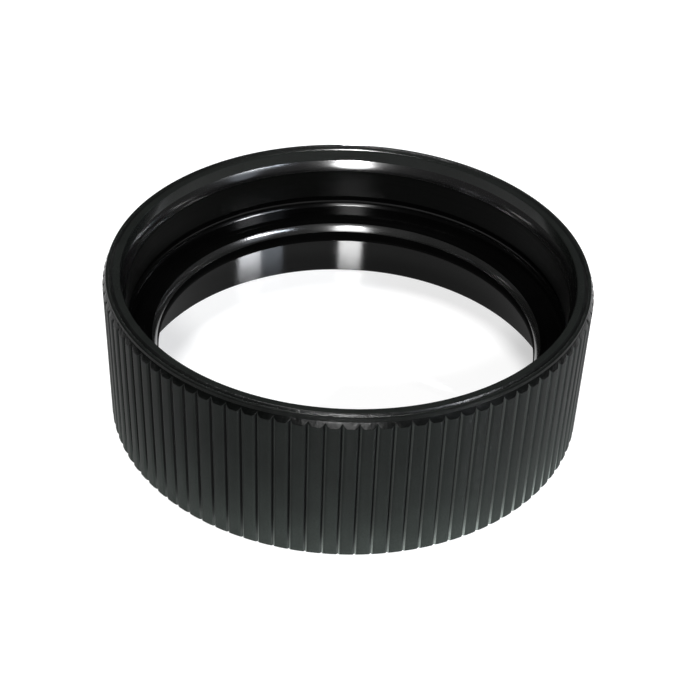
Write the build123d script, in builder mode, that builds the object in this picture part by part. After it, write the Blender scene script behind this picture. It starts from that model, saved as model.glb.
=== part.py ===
"""A turned lens mount: one knurled ring, open right through, with a lip inside that a lens seats on.

Millimetres. The ring stands on its base at z = 0 and its axis is Z.
"""
import os
from math import radians, tan

from build123d import *

# Bore that the lens drops into, from the seat up to the lead-in
bore_diameter = 50.9
bore_length = 5.85

# Mouth, wider than the bore, with a tapered lead-in down to it
mouth_step = 0.55
mouth_depth = 1.5
mouth_edge_break = 0.1
lead_in_length = 1.5

# Lip that the lens seats on, with a round nose and a tapered heel
lip_reach = 3.3
lip_thickness = 3.4
lip_nose_round = 1.65
lip_heel_taper = 1.3

# Recess under the lip, a little wider than the bore
recess_step = 0.15
recess_depth = 6.35
recess_edge_break = 0.25

# Outside wall, measured from the bore to the crests of the ribs
wall_thickness = 2.55
base_chamfer = 0.15

# Plain collar between the top face and the ribs
collar_setback = 0.4
collar_height = 0.5
collar_edge_break = 0.15
rib_end_bevel = 0.6

# Straight knurl, wide and shallow V grooves that leave flat-topped ribs
rib_count = 100
groove_depth = 0.3
groove_angle = 122.0
cut_overrun = 0.1

# Radii
bore_radius = bore_diameter / 2
mouth_radius = bore_radius + mouth_step
lip_radius = bore_radius - lip_reach
recess_radius = bore_radius + recess_step
crest_radius = bore_radius + wall_thickness
collar_radius = crest_radius - collar_setback
root_radius = crest_radius - groove_depth

# Heights
seat_height = recess_depth + lip_thickness
bore_top = seat_height + bore_length
mouth_floor = bore_top + lead_in_length
ring_height = mouth_floor + mouth_depth
rib_top = ring_height - collar_height


def ring_edge(part, radius, height):
    """The circular edge of a part that lies nearest to a radius and a height."""
    circles = part.edges().filter_by(GeomType.CIRCLE)
    return circles.sort_by(lambda e: abs(e.radius - radius) + abs(e.arc_center.Z - height))[0]


with BuildPart() as lens_ring:
    # Half section of the ring as it is turned, down the inside, across the base and up the outside
    with BuildSketch(Plane.XZ):
        with BuildLine():
            Polyline(
                (mouth_radius, ring_height),
                (mouth_radius, mouth_floor),
                (bore_radius, bore_top),
                (bore_radius, seat_height),
                (lip_radius, seat_height),
                (lip_radius, recess_depth),
                (recess_radius, recess_depth),
                (recess_radius, 0),
                (crest_radius - base_chamfer, 0),
                (crest_radius, base_chamfer),
                (crest_radius, rib_top - rib_end_bevel),
                (collar_radius, rib_top),
                (collar_radius, ring_height),
                close=True,
            )
        make_face()
    revolve(axis=Axis.Z)

    # Rounded and broken edges
    fillet(ring_edge(lens_ring, lip_radius, seat_height), lip_nose_round)
    chamfer(ring_edge(lens_ring, lip_radius, recess_depth), lip_heel_taper)
    chamfer(ring_edge(lens_ring, recess_radius, 0), recess_edge_break)
    chamfer(ring_edge(lens_ring, mouth_radius, ring_height), mouth_edge_break)
    chamfer(ring_edge(lens_ring, collar_radius, ring_height), collar_edge_break)

    # Grooves of the knurl, which run out in the bevel at the top of the ribs and break the edge of the base
    groove_reach = groove_depth + cut_overrun
    groove_half_width = groove_reach * tan(radians(groove_angle / 2))
    with BuildSketch(Plane.XY):
        with PolarLocations(root_radius, rib_count):
            Polygon(
                (0, 0),
                (groove_reach, -groove_half_width),
                (groove_reach, groove_half_width),
                align=None,
            )
    extrude(amount=ring_height, mode=Mode.SUBTRACT)

lens_ring.part.label = "lens_ring"

os.makedirs("parts", exist_ok=True)
export_step(lens_ring.part, "parts/lens_ring.step")
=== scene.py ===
"""Looks of a knurled lens mount: a turned ring with softened edges, black anodised, on a white board."""

from math import asin, cos, hypot, pi, radians, sin

import bmesh
import bpy
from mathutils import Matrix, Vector


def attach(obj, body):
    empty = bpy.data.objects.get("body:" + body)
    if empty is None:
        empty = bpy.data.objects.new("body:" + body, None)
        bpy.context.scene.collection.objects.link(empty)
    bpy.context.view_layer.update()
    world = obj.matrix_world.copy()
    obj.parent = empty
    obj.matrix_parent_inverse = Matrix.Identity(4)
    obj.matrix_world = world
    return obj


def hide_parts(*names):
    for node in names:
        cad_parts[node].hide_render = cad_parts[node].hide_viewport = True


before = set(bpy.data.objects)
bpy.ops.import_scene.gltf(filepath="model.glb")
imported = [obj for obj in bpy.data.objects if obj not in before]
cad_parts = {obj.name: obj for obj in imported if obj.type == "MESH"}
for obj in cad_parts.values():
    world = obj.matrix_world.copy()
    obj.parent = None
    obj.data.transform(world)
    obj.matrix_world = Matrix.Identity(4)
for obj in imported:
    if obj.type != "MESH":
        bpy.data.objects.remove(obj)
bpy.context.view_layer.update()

mm = 0.001

# Sizes of the ring, the same as the solid's
bore_radius = 25.45 * mm
bore_top = 15.6 * mm
mouth_radius = 26.0 * mm
mouth_floor = 17.1 * mm
mouth_edge_break = 0.1 * mm
seat_height = 9.75 * mm
lip_radius = 22.15 * mm
recess_radius = 25.6 * mm
recess_depth = 6.35 * mm
recess_edge_break = 0.25 * mm
crest_radius = 28.0 * mm
base_chamfer = 0.15 * mm
collar_radius = 27.6 * mm
ring_height = 18.6 * mm
rib_top = 18.1 * mm
rib_end_bevel = 0.6 * mm
rib_count = 100
groove_half_width = 0.54 * mm

# Fine forms of the ring: crowned lead-in, relief groove, lip nose, collar edge and groove in the top face
lead_in_turn = 24
lead_in_steps = 8
relief_height = 11.2 * mm
relief_round = 1.3 * mm
relief_turn = 40
relief_steps = 12
nose_reach = 1.449 * mm
nose_bends = [(90, 140, 1.0 * mm), (140, 166, 3.2 * mm), (166, 180, 1.0 * mm), (180, 270, 1.4 * mm)]
nose_step_turn = 6.5
collar_round = 0.1 * mm
collar_steps = 4
rim_groove = [(26.85 * mm, 18.6 * mm), (27.0 * mm, 18.38 * mm), (27.25 * mm, 18.6 * mm)]

# Rounded shoulders of the ribs, and how far the cutting bars stand out past the crests
shoulder_slopes = (6, 52)
shoulder_steps = 5
bar_overrun = 0.1 * mm
bar_flare = 0.17 * mm

# Fineness of the turned ring and softness of its edges
turn_steps = 400
corner_turn = radians(20)
edge_softness = 0.05 * mm
smooth_turn = radians(26)
tiny = 0.001 * mm


def deselect():
    """Nothing is left selected, in object mode."""
    if bpy.context.object and bpy.context.object.mode != "OBJECT":
        bpy.ops.object.mode_set(mode="OBJECT")
    bpy.ops.object.select_all(action="DESELECT")


def pick(piece):
    """One piece alone is selected, in object mode."""
    deselect()
    piece.select_set(True)
    bpy.context.view_layer.objects.active = piece


def weld():
    """Corners of the piece in edit mode that coincide become one, and all of it stays selected."""
    bpy.ops.mesh.select_all(action="SELECT")
    bpy.ops.mesh.remove_doubles(threshold=tiny)
    bpy.ops.mesh.select_all(action="SELECT")


def draw_section(name, corners):
    """A new piece, in edit mode: one corner drawn out from point to point in space until it closes."""
    deselect()
    bpy.ops.mesh.primitive_plane_add(size=mm, location=corners[0])
    piece = bpy.context.object
    piece.name = name
    bpy.ops.object.transform_apply(location=True)
    bpy.ops.object.mode_set(mode="EDIT")
    bpy.ops.mesh.select_all(action="SELECT")
    bpy.ops.mesh.merge(type="CENTER")
    for here, there in zip(corners, corners[1:] + corners[:1]):
        step = Vector(there) - Vector(here)
        bpy.ops.mesh.extrude_region_move(TRANSFORM_OT_translate={"value": step})
    weld()
    return piece


def arc(centre, radius, start, end, steps):
    """Corners along an arc in the section, angles in degrees from straight out."""
    angles = [radians(start + (end - start) * i / steps) for i in range(steps + 1)]
    return [(centre[0] + radius * cos(a), centre[1] + radius * sin(a)) for a in angles]


def crowned(top, foot, turn, steps):
    """Corners from a top to a foot along a flat convex arc that turns by so many degrees."""
    across, up = top[0] - foot[0], top[1] - foot[1]
    chord = hypot(across, up)
    half = radians(turn / 2)
    radius = chord / (2 * sin(half))
    slope = asin(across / chord)
    corners = []
    for i in range(steps + 1):
        lean = slope + half - 2 * half * i / steps
        rise = radius * (sin(lean) - sin(slope - half))
        reach = radius * (cos(slope - half) - cos(lean))
        corners.append((foot[0] + reach, foot[1] + rise))
    return corners


# The ring's half section, down the inside, across the base and up the outside
section = [(mouth_radius + mouth_edge_break, ring_height), (mouth_radius, ring_height - mouth_edge_break)]
section += crowned((mouth_radius, mouth_floor), (bore_radius, bore_top), lead_in_turn, lead_in_steps)
relief_centre = (bore_radius - relief_round * cos(radians(relief_turn)), relief_height)
section += arc(relief_centre, relief_round, relief_turn, -relief_turn, relief_steps)
section += [(bore_radius, seat_height)]
bend = (lip_radius + nose_reach, seat_height)
for start, end, radius in nose_bends:
    centre = (bend[0] - radius * cos(radians(start)), bend[1] - radius * sin(radians(start)))
    section += arc(centre, radius, start, end, round((end - start) / nose_step_turn))
    bend = section[-1]
section += [(recess_radius, recess_depth), (recess_radius, recess_edge_break)]
section += [(recess_radius + recess_edge_break, 0), (crest_radius - base_chamfer, 0)]
section += [(crest_radius, base_chamfer), (crest_radius, rib_top - rib_end_bevel)]
section += [(collar_radius, rib_top)]
collar_centre = (collar_radius - collar_round, ring_height - collar_round)
section += arc(collar_centre, collar_round, 0, 90, collar_steps)
section += rim_groove[::-1]

ring = draw_section("turned_ring", [(across, 0, up) for across, up in section])
bpy.ops.mesh.spin(steps=turn_steps, angle=2 * pi, center=(0, 0, 0), axis=(0, 0, 1))
weld()
bpy.ops.mesh.normals_make_consistent(inside=False)

# One groove of the knurl as a bar with hollow sides, copied round and cut from the ring
flattest, steepest = shoulder_slopes
slopes = [radians(flattest + (steepest - flattest) * i / shoulder_steps) for i in range(shoulder_steps + 1)]
shoulder_round = groove_half_width / (sin(slopes[-1]) - sin(slopes[0]))
shoulder = [(crest_radius + bar_overrun, groove_half_width + bar_flare)]
for slope in slopes:
    sunk = shoulder_round * (cos(slopes[0]) - cos(slope))
    inward = shoulder_round * (sin(slope) - sin(slopes[0]))
    shoulder.append((crest_radius - sunk, groove_half_width - inward))
other_side = [(out, -aside) for out, aside in shoulder[-2::-1]]
bars = draw_section("groove_bars", [(out, aside, -mm) for out, aside in shoulder + other_side])
bpy.ops.mesh.edge_face_add()
bpy.ops.mesh.extrude_region_move(TRANSFORM_OT_translate={"value": (0, 0, ring_height + 2 * mm)})
bpy.ops.mesh.select_all(action="SELECT")
bpy.ops.mesh.normals_make_consistent(inside=False)
last_turn = 2 * pi * (rib_count - 1) / rib_count
bpy.ops.mesh.spin(steps=rib_count - 1, dupli=True, angle=last_turn, center=(0, 0, 0), axis=(0, 0, 1))

pick(ring)
cut = ring.modifiers.new("grooves", "BOOLEAN")
cut.operation = "DIFFERENCE"
cut.solver = "EXACT"
cut.object = bars
bpy.ops.object.modifier_apply(modifier=cut.name)
bpy.data.objects.remove(bars)

# Outward corners are softened, all but the crisp ones of the bore and the foot
shape = bmesh.new()
shape.from_mesh(ring.data)
soft = shape.edges.layers.float.new("bevel_weight_edge")
for edge in shape.edges:
    if len(edge.link_faces) != 2 or edge.calc_face_angle_signed() < corner_turn:
        continue
    middle = (edge.verts[0].co + edge.verts[1].co) / 2
    reach = hypot(middle.x, middle.y)
    at_foot = middle.z < base_chamfer + tiny and reach > recess_radius + 1 * mm
    at_bore = reach < mouth_radius + 2 * mouth_edge_break and middle.z > recess_depth
    if not at_foot and not at_bore:
        edge[soft] = 1
shape.to_mesh(ring.data)
shape.free()
soften = ring.modifiers.new("softened_edges", "BEVEL")
soften.limit_method = "WEIGHT"
soften.width = edge_softness
soften.segments = 2
soften.use_clamp_overlap = False
bpy.ops.object.modifier_apply(modifier=soften.name)
bpy.ops.object.mode_set(mode="EDIT")
weld()
pick(ring)
bpy.ops.object.shade_smooth_by_angle(angle=smooth_turn)
even = ring.modifiers.new("even_shading", "WEIGHTED_NORMAL")
even.keep_sharp = True
bpy.ops.object.modifier_apply(modifier=even.name)


def add(tree, kind, place, **values):
    """A node of that kind at a place on the sheet, with its plain values set."""
    made = tree.nodes.new(kind)
    made.location = place
    for name, value in values.items():
        setattr(made, name, value)
    return made


def join(tree, value, socket):
    """A number goes on the socket itself and anything else is linked to it."""
    if isinstance(value, (int, float)):
        socket.default_value = value
    else:
        tree.links.new(value, socket)


def math_node(tree, operation, place, *values):
    """A math node and what it puts out."""
    made = add(tree, "ShaderNodeMath", place, operation=operation)
    for socket, value in zip(made.inputs, values):
        join(tree, value, socket)
    return made.outputs[0]


def new_group(name, inputs, outputs):
    """An empty shader group with named inputs and outputs, and its two end nodes."""
    tree = bpy.data.node_groups.new(name, "ShaderNodeTree")
    for word, kind, value in inputs:
        socket = tree.interface.new_socket(word, in_out="INPUT", socket_type=kind)
        if value is not None:
            socket.default_value = value
    for word, kind in outputs:
        tree.interface.new_socket(word, in_out="OUTPUT", socket_type=kind)
    return tree, add(tree, "NodeGroupInput", (-900, 0)), add(tree, "NodeGroupOutput", (700, 0))


# Marks of the lathe tool: lines that run round the axis and change slowly along their length
slow_change = 30
turned_marks, came, gone = new_group(
    "turned_marks",
    [("Vector", "NodeSocketVector", None), ("Along", "NodeSocketFloat", 0), ("Lines", "NodeSocketFloat", 4000)],
    [("Lines", "NodeSocketFloat")],
)
parts = add(turned_marks, "ShaderNodeSeparateXYZ", (-700, 100))
turned_marks.links.new(came.outputs["Vector"], parts.inputs[0])
slow_x = math_node(turned_marks, "MULTIPLY", (-500, 200), parts.outputs["X"], slow_change)
slow_y = math_node(turned_marks, "MULTIPLY", (-500, 50), parts.outputs["Y"], slow_change)
quick = math_node(turned_marks, "MULTIPLY", (-500, -100), came.outputs["Along"], came.outputs["Lines"])
drawn = add(turned_marks, "ShaderNodeCombineXYZ", (-300, 100))
join(turned_marks, slow_x, drawn.inputs["X"])
join(turned_marks, slow_y, drawn.inputs["Y"])
join(turned_marks, quick, drawn.inputs["Z"])
streaks = add(turned_marks, "ShaderNodeTexNoise", (-100, 100))
streaks.inputs["Scale"].default_value = 1
streaks.inputs["Detail"].default_value = 2
turned_marks.links.new(drawn.outputs[0], streaks.inputs["Vector"])
turned_marks.links.new(streaks.outputs["Fac"], gone.inputs["Lines"])

# Fine grain of the anodised skin, with slow cloudiness
skin_grain, came, gone = new_group(
    "skin_grain",
    [("Vector", "NodeSocketVector", None), ("Grain", "NodeSocketFloat", 6000), ("Cloud", "NodeSocketFloat", 250)],
    [("Grain", "NodeSocketFloat"), ("Cloud", "NodeSocketFloat")],
)
for word, place in (("Grain", 150), ("Cloud", -150)):
    noise = add(skin_grain, "ShaderNodeTexNoise", (-300, place))
    noise.inputs["Detail"].default_value = 3
    skin_grain.links.new(came.outputs["Vector"], noise.inputs["Vector"])
    skin_grain.links.new(came.outputs[word], noise.inputs["Scale"])
    skin_grain.links.new(noise.outputs["Fac"], gone.inputs[word])

# The palest that a finish's painted light can turn it at the foot, in times its tone
palest_painted_light = 20

# Grain and height of the plain skin, the knurl's skin and the worn edges
plain = (6000, 0)
satin = (6000, 0.004 * mm)
lumps = (1400, 0.06 * mm)


def anodised(
    name, tone, gloss, bend, lines=0, along="Z", line_depth=0.0, bumps=plain, uneven=0.3, foot=(1, 3)
):
    """A black anodised finish: tone, roughness, index, tool marks, bumps, unevenness and a foot with painted
    light.

    The foot has how many times paler it is than the top, and how steeply it turns so. This paler foot is painted
    light: on the knurl it stands in for light thrown up from the white board, and on the groove flanks for glints
    at the ends of the grooves.
    """
    material = bpy.data.materials.new(name)
    material.use_nodes = True
    tree = material.node_tree
    tree.nodes.clear()
    out = add(tree, "ShaderNodeOutputMaterial", (900, 0))
    skin = add(tree, "ShaderNodeBsdfPrincipled", (600, 0))
    tree.links.new(skin.outputs["BSDF"], out.inputs["Surface"])
    skin.inputs["IOR"].default_value = bend
    where = add(tree, "ShaderNodeTexCoord", (-1200, 0))
    grain = add(tree, "ShaderNodeGroup", (-700, 0), node_tree=skin_grain)
    tree.links.new(where.outputs["Object"], grain.inputs["Vector"])
    grain.inputs["Grain"].default_value = bumps[0]
    speck = math_node(tree, "MULTIPLY", (-600, 150), grain.outputs["Cloud"], grain.outputs["Grain"])
    patch = math_node(tree, "MULTIPLY_ADD", (-450, 150), speck, 4 * uneven, 1 - uneven)
    paint = add(tree, "ShaderNodeMix", (300, 200), data_type="RGBA", blend_type="MIX")
    paint.inputs["A"].default_value = (0, 0, 0, 1)
    paint.inputs["B"].default_value = [palest_painted_light * t for t in tone] + [1]
    split = add(tree, "ShaderNodeSeparateXYZ", (-1000, -300))
    tree.links.new(where.outputs["Object"], split.inputs[0])
    # Painted light: the tone turns paler towards the foot of the ring, as the foot's settings give
    low = add(tree, "ShaderNodeMapRange", (-700, 400))
    tree.links.new(split.outputs["Z"], low.inputs["Value"])
    low.inputs["From Min"].default_value = ring_height
    low.inputs["From Max"].default_value = 0
    swell = math_node(tree, "POWER", (-550, 400), low.outputs["Result"], foot[1])
    rise = math_node(tree, "MULTIPLY_ADD", (-400, 400), swell, (foot[0] - 1) / palest_painted_light, 1 / palest_painted_light)
    share = math_node(tree, "MULTIPLY", (-200, 150), patch, rise)
    join(tree, share, paint.inputs["Factor"])
    tree.links.new(paint.outputs["Result"], skin.inputs["Base Color"])
    matt = math_node(tree, "MULTIPLY_ADD", (-450, 0), grain.outputs["Cloud"], 0.3 * gloss, 0.85 * gloss)
    join(tree, matt, skin.inputs["Roughness"])
    height = math_node(tree, "MULTIPLY", (-450, -150), grain.outputs["Grain"], bumps[1])
    if lines:
        step = split.outputs["Z"]
        if along == "radius":
            across = math_node(tree, "MULTIPLY", (-850, -350), split.outputs["X"], split.outputs["X"])
            square = math_node(tree, "MULTIPLY_ADD", (-850, -500), split.outputs["Y"], split.outputs["Y"], across)
            step = math_node(tree, "SQRT", (-850, -650), square)
        marks = add(tree, "ShaderNodeGroup", (-650, -300), node_tree=turned_marks)
        tree.links.new(where.outputs["Object"], marks.inputs["Vector"])
        join(tree, step, marks.inputs["Along"])
        marks.inputs["Lines"].default_value = lines
        height = math_node(tree, "MULTIPLY_ADD", (-200, -250), marks.outputs["Lines"], line_depth, height)
    bump = add(tree, "ShaderNodeBump", (300, -250))
    bump.inputs["Distance"].default_value = 1
    join(tree, height, bump.inputs["Height"])
    tree.links.new(bump.outputs["Normal"], skin.inputs["Normal"])
    return material


finishes = [
    # The knurl's skin is painted paler towards its foot, as light thrown up from the board
    anodised("knurl_satin", (0.0047, 0.0056, 0.0051), 0.5, 1.12, bumps=satin, uneven=0.4, foot=(4.8, 3)),
    # The two flanks of each groove are copies of the knurl's finish: one painted darker as shade, one painted
    # paler as light, both with painted glints at their foot
    anodised("flank_painted_shade", (0.002, 0.0022, 0.0021), 0.5, 1.08, bumps=satin, uneven=0.4, foot=(45, 16)),
    anodised("flank_painted_light", (0.0155, 0.0175, 0.0163), 0.5, 1.2, bumps=satin, uneven=0.4, foot=(12, 10)),
    # The rib ends and the collar's edge are painted darker than the knurl, as shade under the top rim
    anodised("rib_ends", (0.001, 0.0012, 0.0011), 0.25, 1.2, bumps=lumps, uneven=0.6),
    anodised("collar_edge", (0.003, 0.0034, 0.0031), 0.4, 1.12, bumps=lumps, uneven=0.6),
    anodised("rim_line", (0.005, 0.0054, 0.0052), 0.25, 1.27, bumps=lumps, uneven=0.6),
    anodised("rim_turned", (0.008, 0.009, 0.0083), 0.12, 1.2, lines=9000, along="radius", line_depth=0.0001 * mm),
    anodised("lead_in", (0.003, 0.003, 0.003), 0.15, 2.2, lines=5000, line_depth=0.0002 * mm),
    # The band of the lip's nose where the highlight falls is painted paler than the rest of the inside, as a
    # painted sheen
    anodised("lip_painted_sheen", (0.007, 0.0071, 0.0069), 0.15, 1.9, lines=5000, line_depth=0.0002 * mm),
    anodised("lip_dark", (0.001, 0.001, 0.001), 0.4, 1.02, lines=5000, line_depth=0.0002 * mm),
    anodised("relief_satin", (0.001, 0.001, 0.001), 0.15, 1.28, lines=5000, line_depth=0.0002 * mm),
    anodised("bore_lined", (0.0007, 0.0008, 0.0007), 0.3, 1.09, lines=3000, line_depth=0.02 * mm),
    anodised("recess_turned", (0.0004, 0.0005, 0.0004), 0.1, 1.22, lines=7000, line_depth=0.0001 * mm),
]
knurl, shaded_flank, lit_flank, rib_end, edge, rim_line, rim, lead_in, painted_sheen, dark, relief, bore, recess = range(len(finishes))
for finish in finishes:
    ring.data.materials.append(finish)

# How far a face leans, up or round the ring, where one finish gives way to the next
rib_end_lean = 0.3
flank_lean = 0.55
lead_in_lean = 0.2
relief_lean = -0.05
nose_low_lean = 0.3
nose_high_lean = 0.68
level = 0.99
dead_level = 0.999


def finish_of(face):
    """Which finish a face of the ring has, by where it lies and how it faces."""
    spot, way = face.center, face.normal
    radius = hypot(spot.x, spot.y)
    if radius > collar_radius - tiny and spot.z < rib_top:
        turn = (way.y * spot.x - way.x * spot.y) / radius
        if way.z > rib_end_lean:
            return rib_end
        # Flanks turned one way round the ring take the painted shade, flanks turned the other way the painted
        # light
        if turn > flank_lean:
            return shaded_flank
        return lit_flank if turn < -flank_lean else knurl
    if radius > mouth_radius - tiny and spot.z > recess_depth:
        if way.z > level or radius < mouth_radius + 2 * mouth_edge_break:
            return rim
        return rim_line if radius < rim_groove[2][0] else edge
    if spot.z > bore_top:
        return lead_in if way.z > lead_in_lean else bore
    if radius > bore_radius - 0.1 * mm and spot.z > recess_depth:
        if spot.z > relief_height + relief_round:
            return bore
        return relief if way.z > relief_lean else dark
    if way.z > dead_level:
        return relief
    if spot.z > recess_depth - tiny:
        # The nose band that catches the highlight takes the paler painted sheen
        return painted_sheen if nose_low_lean < way.z < nose_high_lean else dark
    return recess


for face in ring.data.polygons:
    face.material_index = finish_of(face)
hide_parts("lens_ring")
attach(ring, "root")

# White board that the ring stands on, kept white in the picture and in reflections
board_size = 3
near_reach, near_white = 0.08, 0.55
far_reach, far_white = 0.5, 1
deselect()
bpy.ops.mesh.primitive_plane_add(size=board_size, location=(0, 0, 0))
board = bpy.context.object
board.name = "board"
board_paint = bpy.data.materials.new("white_board")
board_paint.use_nodes = True
tree = board_paint.node_tree
paint = tree.nodes["Principled BSDF"]
paint.inputs["Base Color"].default_value = (0.9, 0.9, 0.9, 1)
paint.inputs["Roughness"].default_value = 0.04
paint.inputs["IOR"].default_value = 4.5
paint.inputs["Emission Color"].default_value = (1, 1, 1, 1)
path = add(tree, "ShaderNodeLightPath", (-800, -300))
seen = math_node(tree, "MAXIMUM", (-600, -300), path.outputs["Is Camera Ray"], path.outputs["Is Glossy Ray"])
seen = math_node(tree, "MAXIMUM", (-400, -300), seen, path.outputs["Is Transmission Ray"])
where = add(tree, "ShaderNodeTexCoord", (-800, -600))
away = add(tree, "ShaderNodeVectorMath", (-600, -600), operation="LENGTH")
tree.links.new(where.outputs["Object"], away.inputs[0])
white = add(tree, "ShaderNodeMapRange", (-400, -600))
tree.links.new(away.outputs["Value"], white.inputs["Value"])
white.inputs["From Min"].default_value = near_reach
white.inputs["From Max"].default_value = far_reach
white.inputs["To Min"].default_value = near_white
white.inputs["To Max"].default_value = far_white
lift = math_node(tree, "MULTIPLY", (-200, -300), seen, white.outputs["Result"])
join(tree, lift, paint.inputs["Emission Strength"])
board.data.materials.append(board_paint)

# Dim room
world = bpy.data.worlds.new("room")
bpy.context.scene.world = world
world.use_nodes = True
world.node_tree.nodes["Background"].inputs["Color"].default_value = (1, 1, 1, 1)
world.node_tree.nodes["Background"].inputs["Strength"].default_value = 0.06


def soft_light(name, azimuth, elevation, distance, width, height, brightness, tint=(1, 1, 1), shape="RECTANGLE"):
    """A flat studio light that faces the ring, of so many times the brightness of white."""
    flat = distance * cos(radians(elevation))
    place = Vector(
        (flat * cos(radians(azimuth)), flat * sin(radians(azimuth)), distance * sin(radians(elevation)))
    )
    deselect()
    bpy.ops.object.light_add(type="AREA", location=place, rotation=place.to_track_quat("Z", "Y").to_euler())
    light = bpy.context.object
    light.name = name
    light.visible_camera = False
    light.data.shape = shape
    light.data.size = width
    light.data.size_y = height
    light.data.energy = brightness * pi * width * height * (pi / 4 if shape == "ELLIPSE" else 1)
    light.data.color = tint


# Lights round the ring, the bars at the height that draws streaks down the recess
bar_height = 33.8
cool = (0.8, 0.88, 1)
soft_light("front_round", -90, 20, 0.6, 0.21, 0.32, 11.5, shape="ELLIPSE")
soft_light("front_bar", -90, bar_height, 0.6, 0.11, 0.028, 240)
soft_light("side_round", -32, 18, 0.6, 0.16, 0.3, 0.7, cool, shape="ELLIPSE")
soft_light("side_bar", -31, bar_height, 0.6, 0.12, 0.028, 180, (0.94, 0.96, 1))
soft_light("side_bar_tail", -44, bar_height, 0.6, 0.12, 0.028, 35, cool)
soft_light("top_box", 140, 80, 0.8, 0.3, 0.3, 17)
soft_light("back_spot", 90, 29, 0.6, 0.014, 0.06, 140)

# Camera at the photograph's angle
camera_turn = [radians(a) for a in (54.567, -1.940, 1.271)]
bpy.ops.object.camera_add(location=(0, -0.1325, 0.1075), rotation=camera_turn)
camera = bpy.context.object
camera.data.lens = 71.65
camera.data.sensor_width = 36
camera.data.shift_y = -0.0714
camera.data.clip_start = 0.001
bpy.context.scene.camera = camera
bpy.context.scene.view_settings.view_transform = "Standard"
